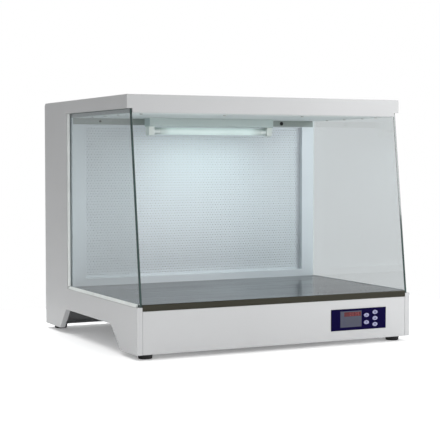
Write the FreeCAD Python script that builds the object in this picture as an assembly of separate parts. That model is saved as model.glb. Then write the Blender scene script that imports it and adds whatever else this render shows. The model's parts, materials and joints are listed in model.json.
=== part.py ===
"""Bench-top laminar-flow hood, 650 mm wide, as an assembly of separate sub-parts.

Frame: millimetres, +Z up, the front (open) side faces -Y, X to the right, origin on the table under the
middle of the hood. Air is drawn in under the base through a sliding pre-filter, rises behind the plenum
wall, passes the impeller into the plenum, and leaves through the HEPA filter and the diffuser into the
work chamber.
"""
import FreeCAD
import Part

import math
import os

Vec = FreeCAD.Vector

# ---- driving dimensions ----------------------------------------------------------------------------------
WIDTH = 650.0
DEPTH = 566.0
FOOT_HEIGHT = 11.0
BODY_HEIGHT = 520.0
SIDE_THICK = 12.0
SHEET = 1.2
GAP = 0.4                       # between neighbouring painted sheets
GLASS_THICK = 5.0
CORNER_R = 9.0                  # side panel's upper rear corner

BASE_BAR_HEIGHT = 95.0          # side panel's bottom bar, above the feet
ROOF_BAR_HEIGHT = 28.5          # side panel's top bar
ROOF_BOX_HEIGHT = 37.0          # fascia, and how far the ceiling lies under the roof
ROOF_SETBACK = 48.5             # the roof's front edge behind the base's front edge
REAR_POST_DEPTH = 153.5         # side panel's rear post
CHAMBER_DEPTH = 399.0           # base's front edge to the back wall of the chamber
WORKTOP_RISE = 100.5            # worktop surface above the feet
WORKTOP_LIP = 13.2
ARCH_HEIGHT = 47.0              # cut-out under each side panel
ARCH_FRONT = (86.5, 143.5)      # foot and top of its front slope, from the base's front edge
ARCH_REAR = (423.0, 464.5)      # top and foot of its rear slope
OUTLET_WIDTH = 560.0            # opening in the back wall, in front of the filter
OUTLET_LOW = 117.6              # above the feet
OUTLET_HEIGHT = 348.4

# ---- places worked out from them -------------------------------------------------------------------------
X_OUT = WIDTH / 2
X_IN = X_OUT - SIDE_THICK
X_SHEET = X_IN - GAP            # outer face of every sheet between the side panels
Y_FRONT = -DEPTH / 2
Y_REAR = DEPTH / 2
Y_ROOF = Y_FRONT + ROOF_SETBACK
Y_POST = Y_REAR - REAR_POST_DEPTH
Y_WALL = Y_FRONT + CHAMBER_DEPTH
Z_BODY = FOOT_HEIGHT
Z_TOP = Z_BODY + BODY_HEIGHT
Z_BASE_BAR = Z_BODY + BASE_BAR_HEIGHT
Z_ROOF_BAR = Z_TOP - ROOF_BAR_HEIGHT
Z_CEILING = Z_TOP - ROOF_BOX_HEIGHT
Z_WORKTOP = Z_BODY + WORKTOP_RISE
Z_FRONT_PANEL = Z_WORKTOP - WORKTOP_LIP
Z_TRAY = Z_BODY + ARCH_HEIGHT
Z_OUTLET = Z_BODY + OUTLET_LOW
Z_OUTLET_TOP = Z_OUTLET + OUTLET_HEIGHT

# ---- lamp: a miniature fluorescent tube of 16 mm diameter, 288 mm between its cap faces ------------------
LAMP_Y = Y_WALL - 60.0
LAMP_Z = Z_CEILING - 30.0
TUBE_R = 8.0
TUBE_HALF = 144.0
CAP_LENGTH = 14.0
LAMP_HALF = 158.0
LAMP_WIRE_X = 120.0

# ---- fan: external-rotor motor inside a backward-curved impeller, turning about Y ------------------------
FAN_Z = Z_OUTLET + OUTLET_HEIGHT / 2
IMPELLER_R = 88.0
Y_PLENUM = Y_REAR - 37.0        # front face of the plenum wall
SHAFT_R = 2.46
BEARING_R = 6.5

# ---- control panel ---------------------------------------------------------------------------------------
PANEL_X = 192.5
PANEL_Z = Z_BODY + 44.2
PANEL_W = 139.0
PANEL_H = 46.0
PANEL_PROUD = 1.2
KEY_W = 13.0
KEY_H = 8.6
KEY_PROUD = 0.9
KEY_TRAVEL = 0.8
KEYS = {                        # offset of each key from the panel's middle, X and Z
    "key_fan": (19.0, 7.9),
    "key_lamp": (19.0, -7.9),
    "key_power": (41.0, 13.2),
    "key_up": (41.0, 0.0),
    "key_down": (41.0, -13.2),
}
Y_STEM = Y_FRONT + 5.0          # tip of each key's stem at rest
SCREEN = (-46.8, -16.4, 6.9, 18.5)      # x0, z0, x1, z1 from the panel's middle
CONTROL_DEPTH = 42.0            # space for the controls behind the front panel
CONTROL_WIRE_X = 258.0

# ---- pre-filter cassette, which slides out to the left through the side panel's arch ---------------------
CASSETTE_HALF_X = 200.0
CASSETTE_HALF_Y = 112.0
CASSETTE_Z = (Z_TRAY - 14.0, Z_TRAY - 1.0)

FOOT_X = X_OUT - 28.5
FOOT_Y = Y_REAR - 26.0
FOOT_R = 15.5

INLET_X = 236.0                 # power inlet on the rear panel
INLET_Z = 92.0
INLET_PROUD = 1.6


# ---- shape helpers ---------------------------------------------------------------------------------------
def box(x0, x1, y0, y1, z0, z1):
    return Part.makeBox(x1 - x0, y1 - y0, z1 - z0, Vec(x0, y0, z0))


def rod(r, start, end):
    a, b = Vec(*start), Vec(*end)
    return Part.makeCylinder(r, (b - a).Length, a, b - a)


def tube(r_out, r_in, start, end):
    return rod(r_out, start, end).cut(rod(r_in, start, end))


def prism(points, direction):
    """Solid swept along direction from the flat polygon through points."""
    corners = [Vec(*p) for p in points]
    return Part.Face(Part.makePolygon(corners + corners[:1])).extrude(Vec(*direction))


def ring_y(x, z_low, z_high, width, y0, y1):
    """Rectangular ring, inside measure +-x by z_low..z_high, width thick, from y0 to y1."""
    outer = box(-x - width, x + width, y0, y1, z_low - width, z_high + width)
    return outer.cut(box(-x, x, y0, y1, z_low, z_high))


def fuse(solids):
    joined = solids[0].fuse(solids[1:]) if len(solids) > 1 else solids[0]
    return joined.removeSplitter()


def group(solids):
    return Part.makeCompound(solids)


def mirrored(shape):
    return shape.mirror(Vec(0, 0, 0), Vec(1, 0, 0))


def along(edge, axis, tolerance=1e-3):
    """True if edge is straight and runs along axis ("x", "y" or "z")."""
    if edge.Curve.TypeId != "Part::GeomLine":
        return False
    d = edge.lastVertex().Point - edge.firstVertex().Point
    others = {"x": (d.y, d.z), "y": (d.x, d.z), "z": (d.x, d.y)}[axis]
    return max(abs(v) for v in others) < tolerance


def fillet(shape, radius, picks):
    """Rounds the edges for which picks(edge, middle) is true."""
    edges = [e for e in shape.Edges if picks(e, e.CenterOfMass)]
    return shape.makeFillet(radius, edges)


def near(value, target, tolerance=0.05):
    return abs(value - target) < tolerance


def inset(points, distances):
    """Moves edge i of a flat polygon (from point i to i+1, in y and z) inwards by distances[i]."""
    n = len(points)
    area = sum(
        points[i][0] * points[(i + 1) % n][1] - points[(i + 1) % n][0] * points[i][1] for i in range(n)
    )
    turn = 1.0 if area > 0 else -1.0
    lines = []
    for i in range(n):
        (ay, az), (by, bz) = points[i], points[(i + 1) % n]
        length = math.hypot(by - ay, bz - az)
        ny, nz = -(bz - az) / length * turn, (by - ay) / length * turn
        lines.append((ny, nz, ny * ay + nz * az + distances[i]))
    moved = []
    for i in range(n):
        (a1, b1, c1), (a2, b2, c2) = lines[i - 1], lines[i]
        det = a1 * b2 - a2 * b1
        moved.append(((c1 * b2 - c2 * b1) / det, (a1 * c2 - a2 * c1) / det))
    return moved


def cable(points, r_cable, r_bend):
    """Round cable through points: straight runs joined by tangent arcs of r_bend."""
    corners = [Vec(*p) for p in points]
    edges, start = [], corners[0]
    for before, corner, after in zip(corners, corners[1:], corners[2:]):
        u = (before - corner).normalize()
        v = (after - corner).normalize()
        half = u.getAngle(v) / 2
        back = r_bend / math.tan(half)
        middle = corner + (u + v).normalize() * (r_bend / math.sin(half) - r_bend)
        edges.append(Part.LineSegment(start, corner + u * back).toShape())
        edges.append(Part.Arc(corner + u * back, middle, corner + v * back).toShape())
        start = corner + v * back
    edges.append(Part.LineSegment(start, corners[-1]).toShape())
    path = Part.Wire(edges)
    section = Part.Wire(Part.makeCircle(r_cable, corners[0], corners[1] - corners[0]))
    return path.makePipeShell([section], True, False)


# ---- cabinet shell ---------------------------------------------------------------------------------------
def side_outline():
    """The side panel's outline in y and z, and how thick its wall stays along each edge."""
    wall, glazed = 1.5, 13.5
    top_front = Y_ROOF + SHEET + 0.2
    corners = [
        (Y_FRONT, Z_BODY, wall),
        (Y_FRONT, Z_BASE_BAR, wall),
        (Y_POST, Z_BASE_BAR, glazed),
        (Y_POST, Z_ROOF_BAR, glazed - 1.5),
        (top_front, Z_ROOF_BAR, wall),
        (top_front, Z_TOP, wall),
        (Y_REAR, Z_TOP, wall),
        (Y_REAR, Z_BODY, wall),
        (Y_FRONT + ARCH_REAR[1], Z_BODY, wall),
        (Y_FRONT + ARCH_REAR[0], Z_TRAY, wall),
        (Y_FRONT + ARCH_FRONT[1], Z_TRAY, wall),
        (Y_FRONT + ARCH_FRONT[0], Z_BODY, wall),
    ]
    return [(y, z) for y, z, _ in corners], [w for _, _, w in corners]


def side_panel_left():
    """Folded steel C-shape: outer skin with returns, a rebate for the glass, an arch for the air under it."""
    outline, walls = side_outline()
    solid = prism([(-X_OUT, y, z) for y, z in outline], (SIDE_THICK, 0, 0))
    solid = fillet(solid, CORNER_R, lambda e, m: along(e, "x") and near(m.y, Y_REAR) and near(m.z, Z_TOP))
    top_front = Y_ROOF + SHEET + 0.2
    solid = fillet(solid, 1.0, lambda e, m: near(m.x, -X_OUT) and not near(m.y, top_front))
    pocket = inset(outline, walls)
    hollow = prism([(-X_OUT + 1.5, y, z) for y, z in pocket], (SIDE_THICK, 0, 0))
    rear_top = lambda e, m: along(e, "x") and m.y > Y_REAR - 3 and m.z > Z_TOP - 3
    hollow = fillet(hollow, CORNER_R - 1.5, rear_top)
    rebate = box(-X_IN - GLASS_THICK - 0.8, -X_IN, Y_ROOF + SHEET, Y_POST + 10.0, Z_BASE_BAR,
                 Z_ROOF_BAR + 9.5)
    return solid.cut(hollow).cut(rebate)


def glass_front(z):
    """Y of the glass pane's sloping front edge at height z."""
    low, high = (Y_FRONT + 1.5, Z_BASE_BAR), (Y_ROOF + 2.0, Z_CEILING)
    return low[0] + (high[0] - low[0]) * (z - low[1]) / (high[1] - low[1])


def glass_left():
    z0, z1, y1 = Z_BASE_BAR + 0.8, Z_ROOF_BAR + 9.0, Y_POST + 9.5
    points = [(glass_front(z0), z0), (y1, z0), (y1, z1), (glass_front(z1), z1)]
    pane = prism([(-X_IN - GLASS_THICK, y, z) for y, z in points], (GLASS_THICK, 0, 0))
    return fillet(pane, 0.6, lambda e, m: m.y < Y_ROOF + 5 and not along(e, "y") and not along(e, "x"))


def glass_seal_left():
    """Black glazing tape: outside the pane along the post and the roof bar, and under its bottom edge."""
    outer, face = -X_IN - GLASS_THICK - 0.8, -X_IN - GLASS_THICK
    z1, y1 = Z_ROOF_BAR + 9.0, Y_POST + 9.5
    post = box(outer, face, Y_POST - 1.6, y1, Z_BASE_BAR + 0.8, z1)
    roof = box(outer, face, Y_ROOF + 4.5, y1, Z_ROOF_BAR - 1.2, z1)
    sill = box(outer, -X_IN, Y_FRONT + 3.0, y1, Z_BASE_BAR, Z_BASE_BAR + 0.8)
    return fuse([post, roof, sill])


def top_cover():
    """Roof sheet with front fascia, lip and side flanges; the fascia's lower corners clear the side
    panels."""
    roof = box(-X_SHEET, X_SHEET, Y_ROOF, Y_REAR - SHEET - 0.3, Z_TOP - SHEET, Z_TOP)
    fascia = box(-X_OUT, X_OUT, Y_ROOF, Y_ROOF + SHEET, Z_ROOF_BAR, Z_TOP)
    apron = box(-X_IN, X_IN, Y_ROOF, Y_ROOF + SHEET, Z_CEILING, Z_ROOF_BAR)
    lip = box(-X_SHEET, X_SHEET, Y_ROOF, Y_ROOF + 20, Z_CEILING, Z_CEILING + SHEET)
    flange = box(-X_SHEET, -X_SHEET + SHEET, Y_ROOF, Y_REAR - 2, Z_CEILING, Z_TOP)
    rear = box(-X_SHEET, X_SHEET, Y_REAR - 2 * SHEET - 0.3, Y_REAR - SHEET - 0.3, Z_TOP - 22, Z_TOP)
    cover = fuse([roof, fascia, apron, lip, flange, mirrored(flange), rear])
    front_folds = lambda e, m: along(e, "x") and near(m.y, Y_ROOF) and not Z_CEILING < m.z < Z_TOP
    cover = fillet(cover, 1.0, front_folds)
    y_rear, bend = Y_REAR - SHEET - 0.3, CORNER_R - SHEET - 0.3
    cover = fillet(cover, bend - SHEET, lambda e, m: along(e, "x") and near(m.y, y_rear - SHEET)
                   and near(m.z, Z_TOP - SHEET))
    cover = fillet(cover, bend, lambda e, m: along(e, "x") and near(m.y, y_rear) and near(m.z, Z_TOP))
    return cover.cut(group(rear_screw_holes(Y_REAR - 4, Y_REAR)))


def ceiling_screw_places():
    y_front, y_last = Y_ROOF + 27.0, Y_WALL - 12.0
    front = [(x, y_front) for x in (-283.0, -94.0, 94.0, 283.0)]
    side_rows = [y_front + (y_last - y_front) * k / 4 for k in range(1, 5)]
    return front + [(s * 298.0, y) for s in (-1, 1) for y in side_rows]


def ceiling_panel():
    """Inner ceiling of the chamber, screwed up to the roof box from below."""
    sheet = box(-X_SHEET + 1, X_SHEET - 1, Y_ROOF + 6, Y_WALL - 0.4, Z_CEILING - SHEET, Z_CEILING)
    half, y1 = X_SHEET - 1 - SHEET, Y_WALL - 0.4
    turn_up = box(-half, half, y1 - SHEET, y1, Z_CEILING, Z_CEILING + 16)
    wire_hole = rod(5.0, (LAMP_WIRE_X, LAMP_Y, Z_CEILING - 3), (LAMP_WIRE_X, LAMP_Y, Z_CEILING + 3))
    holes = [rod(2.2, (x, y, Z_CEILING - 3), (x, y, Z_CEILING + 3)) for x, y in ceiling_screw_places()]
    return fuse([sheet, turn_up]).cut(group(holes + [wire_hole]))


def ceiling_screws():
    return group([pan_screw((x, y, Z_CEILING - SHEET), (0, 0, -1)) for x, y in ceiling_screw_places()])


def pan_screw(seat, outward, r_head=3.4, r_thread=1.9, height=1.8, length=7.0):
    """Pan-head screw with a cross recess; seat is where the head meets the sheet."""
    s, n = Vec(*seat), Vec(*outward)
    head = Part.makeCylinder(r_head, height, s, n)
    head = head.makeFillet(height * 0.6, [e for e in head.Edges if near((e.CenterOfMass - s).dot(n), height)
                                          and e.Curve.TypeId == "Part::GeomCircle"])
    thread = Part.makeCylinder(r_thread, length, s - n * length, n)
    u = n.cross(Vec(0, 0, 1) if abs(n.z) < 0.5 else Vec(0, 1, 0)).normalize()
    v = n.cross(u)
    slots = []
    for a, b in ((u, v), (v, u)):
        corners = [s + n * (height - 0.9) + a * (sa * r_head * 0.55) + b * (sb * 0.45)
                   for sa, sb in ((-1, -1), (1, -1), (1, 1), (-1, 1))]
        slots.append(prism([(c.x, c.y, c.z) for c in corners], tuple(n * 2)))
    return fuse([head, thread]).cut(fuse(slots))


def rear_screw_places():
    rows = [Z_BODY + 70 + k * (BODY_HEIGHT - 85) / 4 for k in range(5)]
    sides = [(s * (X_SHEET - 9), z) for s in (-1, 1) for z in rows]
    return sides + [(x, Z_TOP - 14.5) for x in (-150.0, 0.0, 150.0)]


def rear_screw_holes(y0, y1):
    return [rod(2.2, (x, y0, z), (x, y1, z)) for x, z in rear_screw_places()]


def rear_panel():
    """Back cover with a foot flange, side returns and the cut-out for the power inlet."""
    y_in = Y_REAR - SHEET
    skin = box(-X_SHEET, X_SHEET, y_in, Y_REAR, Z_BODY, Z_TOP - CORNER_R)
    foot_flange = box(-X_SHEET, X_SHEET, Y_REAR - 42, Y_REAR, Z_BODY, Z_BODY + SHEET)
    side_return = box(-X_SHEET, -X_SHEET + SHEET, Y_REAR - 24, Y_REAR, Z_BODY, Z_TRAY - 2)
    panel = fuse([skin, foot_flange, side_return, mirrored(side_return)])
    panel = fillet(panel, 1.0, lambda e, m: near(m.y, Y_REAR) and (along(e, "x") or along(e, "z")))
    cuts = [box(INLET_X - 13.6, INLET_X + 13.6, y_in - 1, Y_REAR + 1, INLET_Z - 22.6, INLET_Z + 22.6)]
    cuts += rear_screw_holes(y_in - 1, Y_REAR + 1)
    cuts += [rod(2.6, (s * FOOT_X, FOOT_Y, Z_BODY - 1), (s * FOOT_X, FOOT_Y, Z_BODY + 3)) for s in (-1, 1)]
    return panel.cut(group(cuts))


def rear_screws():
    return group([pan_screw((x, Y_REAR, z), (0, 1, 0)) for x, z in rear_screw_places()])


def rear_rails():
    """Two uprights inside the back, which the rear panel is screwed to."""
    y0, y1 = Y_REAR - 22, Y_REAR - SHEET - 0.2
    upright = fuse([
        box(-X_SHEET, -X_SHEET + SHEET, y0, y1, Z_TRAY + 3, Z_CEILING - 1),
        box(-X_SHEET, -X_SHEET + 18, y1 - SHEET, y1, Z_TRAY + 3, Z_CEILING - 1),
    ])
    holes = group(rear_screw_holes(y1 - 3, y1 + 1))
    return group([upright.cut(holes), mirrored(upright).cut(holes)])


def base_tray():
    """Bottom plate of the base with the air inlet.

    Its front drops to the front panel's foot flange, which closes the space for the controls, and its sides
    rise to carry the worktop.
    """
    y_front, z_side = Y_FRONT + CONTROL_DEPTH, Z_FRONT_PANEL - 0.2
    plate = box(-X_SHEET, X_SHEET, y_front, Y_REAR - SHEET - 0.3, Z_TRAY, Z_TRAY + SHEET)
    drop = box(-X_SHEET, X_SHEET, y_front, y_front + SHEET, Z_BODY + SHEET + 0.1, Z_TRAY)
    wall = box(-X_SHEET, -X_SHEET + SHEET, y_front, Y_WALL - 2, Z_TRAY, z_side)
    shelf = box(-X_SHEET, -X_SHEET + 16, y_front, Y_WALL - 2, z_side - SHEET, z_side)
    tray = fuse([plate, drop, wall, shelf, mirrored(wall), mirrored(shelf)])
    mouth = box(-CASSETTE_HALF_X + 14, CASSETTE_HALF_X - 14, -CASSETTE_HALF_Y + 14, CASSETTE_HALF_Y - 14,
                Z_TRAY - 1, Z_TRAY + 3)
    mouth = fillet(mouth, 6.0, lambda e, m: along(e, "z"))
    wire = rod(5.0, (CONTROL_WIRE_X, y_front - 1, Z_TRAY - 8), (CONTROL_WIRE_X, y_front + 3, Z_TRAY - 8))
    return tray.cut(group([mouth, wire]))


def front_panel():
    """Front skirt with the control cut-out, a top return under the worktop lip and a flange for the feet."""
    top = Z_FRONT_PANEL - 0.2
    y_in = Y_FRONT + SHEET
    skin = box(-X_SHEET, X_SHEET, Y_FRONT, y_in, Z_BODY, top)
    shelf = box(-X_SHEET, X_SHEET, Y_FRONT, Y_FRONT + 20, top - SHEET, top)
    foot_flange = box(-X_SHEET, X_SHEET, Y_FRONT, Y_FRONT + 42, Z_BODY, Z_BODY + SHEET)
    side_return = box(-X_SHEET, -X_SHEET + SHEET, Y_FRONT, Y_FRONT + 20, Z_BODY, Z_TRAY - 2)
    panel = fuse([skin, shelf, foot_flange, side_return, mirrored(side_return)])
    panel = fillet(panel, 1.0, lambda e, m: near(m.y, Y_FRONT) and (along(e, "x") or along(e, "z")))
    cuts = [box(PANEL_X - PANEL_W / 2 + 3, PANEL_X + PANEL_W / 2 - 3, Y_FRONT - 1, y_in + 1,
                PANEL_Z - PANEL_H / 2 + 3, PANEL_Z + PANEL_H / 2 - 3)]
    cuts += [rod(2.6, (s * FOOT_X, -FOOT_Y, Z_BODY - 1), (s * FOOT_X, -FOOT_Y, Z_BODY + 3)) for s in (-1, 1)]
    return panel.cut(group(cuts))


def worktop():
    """Stainless steel pan: flat top with all four edges turned down."""
    y1 = Y_WALL - 0.4
    z0 = Z_WORKTOP - WORKTOP_LIP
    outer = box(-X_SHEET, X_SHEET, Y_FRONT, y1, z0, Z_WORKTOP)
    outer = fillet(outer, 2.0, lambda e, m: along(e, "x") and near(m.y, Y_FRONT) and near(m.z, Z_WORKTOP))
    hollow = box(-X_SHEET + SHEET, X_SHEET - SHEET, Y_FRONT + SHEET, y1 - SHEET, z0 - 1, Z_WORKTOP - SHEET)
    hollow = fillet(hollow, 0.8, lambda e, m: along(e, "x") and near(m.y, Y_FRONT + SHEET) and m.z > z0)
    return outer.cut(hollow)


# ---- back wall, filter and plenum ------------------------------------------------------------------------
def filter_surround():
    """Painted back wall of the chamber: frame with a returned opening and a seat for the filter's gasket."""
    half, z0, z1 = OUTLET_WIDTH / 2, Z_OUTLET, Z_OUTLET_TOP
    low, high = Z_FRONT_PANEL + 1, Z_CEILING - 0.4
    seat = Y_WALL + SHEET + 11
    opening = box(-half, half, Y_WALL - 1, seat + 5, z0, z1)
    face = box(-X_SHEET, X_SHEET, Y_WALL, Y_WALL + SHEET, low, high)
    collar = ring_y(half, z0, z1, SHEET, Y_WALL, seat)
    gasket_seat = box(-X_SHEET, X_SHEET, seat - SHEET, seat, low, high)
    edge = ring_y(X_SHEET - SHEET, low + SHEET, high - SHEET, SHEET, Y_WALL, seat)
    frame = fuse([face, collar, gasket_seat, edge]).cut(opening)
    return fillet(frame, 1.0, lambda e, m: near(m.y, Y_WALL) and abs(m.x) < half + 0.1
                  and z0 - 0.1 < m.z < z1 + 0.1)


def y_gasket_seat():
    return Y_WALL + SHEET + 11


def diffuser_plate():
    """Perforated diffuser; its rows of holes are finer than this model needs, so they are left plain here."""
    y0 = y_gasket_seat() + 0.2
    half = OUTLET_WIDTH / 2 + 6
    return box(-half, half, y0, y0 + 1.0, Z_OUTLET - 6, Z_OUTLET_TOP + 6)


FILTER_HALF = 302.0
FILTER_Z = (Z_OUTLET - 13.6, Z_OUTLET_TOP + 14.0)
FILTER_WALL = 12.0
FILTER_DEPTH = 50.0


def y_filter():
    return y_gasket_seat() + 5.8


def filter_frame():
    y0 = y_filter()
    z0, z1 = FILTER_Z[0] + FILTER_WALL, FILTER_Z[1] - FILTER_WALL
    return ring_y(FILTER_HALF - FILTER_WALL, z0, z1, FILTER_WALL, y0, y0 + FILTER_DEPTH)


def filter_gasket():
    y0 = y_gasket_seat() + 0.2
    return ring_y(FILTER_HALF - 12, FILTER_Z[0] + 3, FILTER_Z[1] - 3, 3.0, y0, y_filter()).cut(
        ring_y(FILTER_HALF - 5, FILTER_Z[0] - 5, FILTER_Z[1] + 5, 20.0, y0 - 1, y_filter() + 1))


def filter_media():
    """Pleated pack; the pleats run up and down and open to the front and to the back in turn."""
    y0, depth, paper = y_filter() + 3, 44.0, 1.6
    half = FILTER_HALF - FILTER_WALL - 0.3
    pleats = 58
    pitch = 2 * half / pleats
    front = [(-half + k * pitch / 2, y0 if k % 2 else y0 + depth - paper * 2) for k in range(2 * pleats + 1)]
    back = [(x, y + paper * 2) for x, y in reversed(front)]
    z0, z1 = FILTER_Z[0] + FILTER_WALL + 0.3, FILTER_Z[1] - FILTER_WALL - 0.3
    return prism([(x, y, z0) for x, y in front + back], (0, 0, z1 - z0))


def clamp_places():
    return [(s, z) for s in (-1, 1) for z in (FILTER_Z[0] + 60, FAN_Z, FILTER_Z[1] - 60)]


CLAMP_X = (FILTER_HALF + X_SHEET - SHEET) / 2


def filter_clamps():
    """Plates that press the filter against its seat."""
    y0 = y_filter() + 50.2
    plates = []
    for s, z in clamp_places():
        x0, x1 = sorted((s * (FILTER_HALF - 14), s * (X_SHEET - SHEET - 0.5)))
        hole = rod(2.7, (s * CLAMP_X, y0 - 1, z), (s * CLAMP_X, y0 + 5, z))
        plates.append(box(x0, x1, y0, y0 + 3, z - 12, z + 12).cut(hole))
    return group(plates)


def clamp_bolts():
    """Studs through the clamps with a hexagon nut each."""
    y0, y1 = y_gasket_seat() + 0.2, y_filter() + 50.2 + 3
    bolts = []
    for s, z in clamp_places():
        x = s * CLAMP_X
        stud = rod(2.5, (x, y0, z), (x, y1 + 7, z))
        corners = [(x + 4.4 * math.cos(math.radians(60 * k)), y1, z + 4.4 * math.sin(math.radians(60 * k)))
                   for k in range(6)]
        bolts.append(fuse([stud, prism(corners, (0, 4, 0))]))
    return group(bolts)


def plenum_wall():
    """Upright partition with the fan's inlet hole, and the plenum's floor and roof."""
    z_floor = FILTER_Z[0] - 3.0
    x = X_SHEET - SHEET - 0.3
    wall = box(-x, x, Y_PLENUM, Y_PLENUM + SHEET, z_floor, Z_TOP - 24)
    floor = box(-x, x, y_filter(), Y_PLENUM, z_floor, z_floor + SHEET)
    roof = box(-x, x, y_filter() - 3, Y_PLENUM, Z_TOP - 24 - SHEET, Z_TOP - 24)
    hole = rod(62.0, (0, Y_PLENUM - 1, FAN_Z), (0, Y_PLENUM + 3, FAN_Z))
    wire = rod(4.0, (0, FAN_CABLE_Y, z_floor - 2), (0, FAN_CABLE_Y, z_floor + 3))
    studs = [rod(2.2, (x, Y_PLENUM - 1, z), (x, Y_PLENUM + 3, z)) for x, z in standoff_places()]
    return fuse([wall, floor, roof]).cut(group([hole, wire] + studs))


# ---- fan -------------------------------------------------------------------------------------------------
Y_BRACKET = Y_PLENUM - 60.5     # front face of the motor plate
STANDOFF_R = 105.0
FAN_CABLE_Y = Y_BRACKET + 5.1


def on_fan(r, angle):
    return r * math.cos(math.radians(angle)), FAN_Z + r * math.sin(math.radians(angle))


def standoff_places():
    return [on_fan(STANDOFF_R, 45 + 90 * k) for k in range(4)]


def fan_disc(r_out, r_in, y0, y1):
    if r_in:
        return tube(r_out, r_in, (0, y0, FAN_Z), (0, y1, FAN_Z))
    return rod(r_out, (0, y0, FAN_Z), (0, y1, FAN_Z))


def fan_inlet_ring():
    """Bell-mouth that leads the air from behind the plenum wall into the impeller."""
    y_wall = Y_PLENUM + SHEET
    y_bend, inner, thick, bend = y_wall - 4.0, 54.0, 2.0, 6.0
    slant = math.sqrt(0.5)
    corners = [
        (inner, y_wall - 9), (inner, y_bend), (inner + bend, y_bend + bend), (inner + 26, y_bend + bend),
        (inner + 26, y_wall), (inner + bend, y_wall), (inner + thick, y_bend), (inner + thick, y_wall - 9),
    ]
    p = [Vec(r, y, 0) for r, y in corners]
    mid_in = Vec(inner + bend - bend * slant, y_bend + bend * slant, 0)
    mid_out = Vec(inner + bend - (bend - thick) * slant, y_bend + (bend - thick) * slant, 0)
    edges = [Part.LineSegment(p[k], p[(k + 1) % 8]) for k in range(8)]
    edges[1] = Part.Arc(p[1], mid_in, p[2])
    edges[5] = Part.Arc(p[5], mid_out, p[6])
    profile = Part.Face(Part.Wire([edge.toShape() for edge in edges]))
    ring = profile.revolve(Vec(0, 0, 0), Vec(0, 1, 0), 360)
    ring.translate(Vec(0, 0, FAN_Z))
    return ring


def fan_bracket():
    """Motor plate on four standoffs from the plenum wall."""
    y0, y1 = Y_BRACKET, Y_BRACKET + 3
    plate = [fan_disc(48, 0, y0, y1)]
    for x, z in standoff_places():
        angle = math.degrees(math.atan2(z - FAN_Z, x))
        arm = box(0, STANDOFF_R, y0, y1, -10, 10)
        arm.rotate(Vec(0, 0, 0), Vec(0, 1, 0), -angle)
        arm.translate(Vec(0, 0, FAN_Z))
        plate += [arm, rod(10, (x, y0, z), (x, y1, z)), rod(4, (x, y1, z), (x, Y_PLENUM, z))]
    return fuse(plate).cut(fan_disc(9, 0, y0 - 1, y1 + 1))


def fan_stator():
    """Motor flange, bearing tube and wound core."""
    y0 = Y_BRACKET + 3
    flange = fan_disc(45, 0, y0, y0 + 4)
    bearing_tube = fan_disc(9, 0, y0, y0 + 31)
    core = fan_disc(27, 0, y0 + 9, y0 + 28)
    teeth = []
    for k in range(12):
        tooth = box(20, 34.5, y0 + 11, y0 + 26, -4.5, 4.5)
        tooth.rotate(Vec(0, 0, 0), Vec(0, 1, 0), 30 * k)
        tooth.translate(Vec(0, 0, FAN_Z))
        teeth.append(tooth)
    bore = fan_disc(BEARING_R, 0, y0 + 4, y0 + 32)
    return fuse([flange, bearing_tube, core] + teeth).cut(bore)


def fan_bearings():
    y0 = Y_BRACKET + 3
    return group([fan_disc(BEARING_R - 0.02, SHAFT_R + 0.04, y, y + 5) for y in (y0 + 8, y0 + 25)])


def fan_shaft():
    y0 = Y_BRACKET + 3
    return fan_disc(SHAFT_R, 0, y0 + 6.5, y0 + 37.5)


def fan_rotor():
    """Deep steel cup that turns around the stator."""
    y0, y1 = Y_BRACKET + 8.5, Y_BRACKET + 41
    cup = fan_disc(40, 0, y0, y1)
    cup = fillet(cup, 3.0, lambda e, m: near(m.y, y1) and not along(e, "y"))
    return cup.cut(fan_disc(37, 0, y0 - 1, y1 - 3.5)).cut(fan_disc(SHAFT_R + 0.01, 0, y0, y1 + 1))


def impeller_blade(y0, y1):
    """One backward-curved blade between an inner and an outer radius, bent to an arc."""
    inner, outer, sweep, thick = 50.0, IMPELLER_R - 1.0, 38.0, 1.8
    a = Vec(inner, y0, 0)
    b = Vec(outer * math.cos(math.radians(sweep)), y0, outer * math.sin(math.radians(sweep)))
    chord = b - a
    side = Vec(chord.z, 0, -chord.x).normalize()
    middle = (a + b) * 0.5 + side * 6.0
    near_face = Part.Arc(a, middle, b).toShape()
    far_face = Part.Arc(b + side * thick, middle + side * thick, a + side * thick).toShape()
    ends = [Part.LineSegment(b, b + side * thick).toShape(), Part.LineSegment(a + side * thick, a).toShape()]
    return Part.Face(Part.Wire([near_face, ends[0], far_face, ends[1]])).extrude(Vec(0, y1 - y0, 0))


def fan_impeller():
    """Back plate, seven backward-curved blades and a shroud with an inlet collar, moulded in one."""
    y_back = Y_BRACKET + 12.0
    y_shroud = y_back + 37.0
    back = fan_disc(IMPELLER_R, 40.02, y_back, y_back + 2)
    hub = fan_disc(43, 40.02, y_back, y_back + 9)
    shroud = fan_disc(IMPELLER_R, 58.5, y_shroud, y_shroud + 2)
    collar = fan_disc(60.5, 58.5, y_shroud, y_shroud + 6)
    blades = []
    for k in range(7):
        blade = impeller_blade(y_back + 1, y_shroud + 1)
        blade.rotate(Vec(0, 0, 0), Vec(0, 1, 0), 360.0 / 7 * k)
        blade.translate(Vec(0, 0, FAN_Z))
        blades.append(blade)
    return fuse([back, hub, shroud, collar] + blades)


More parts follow.
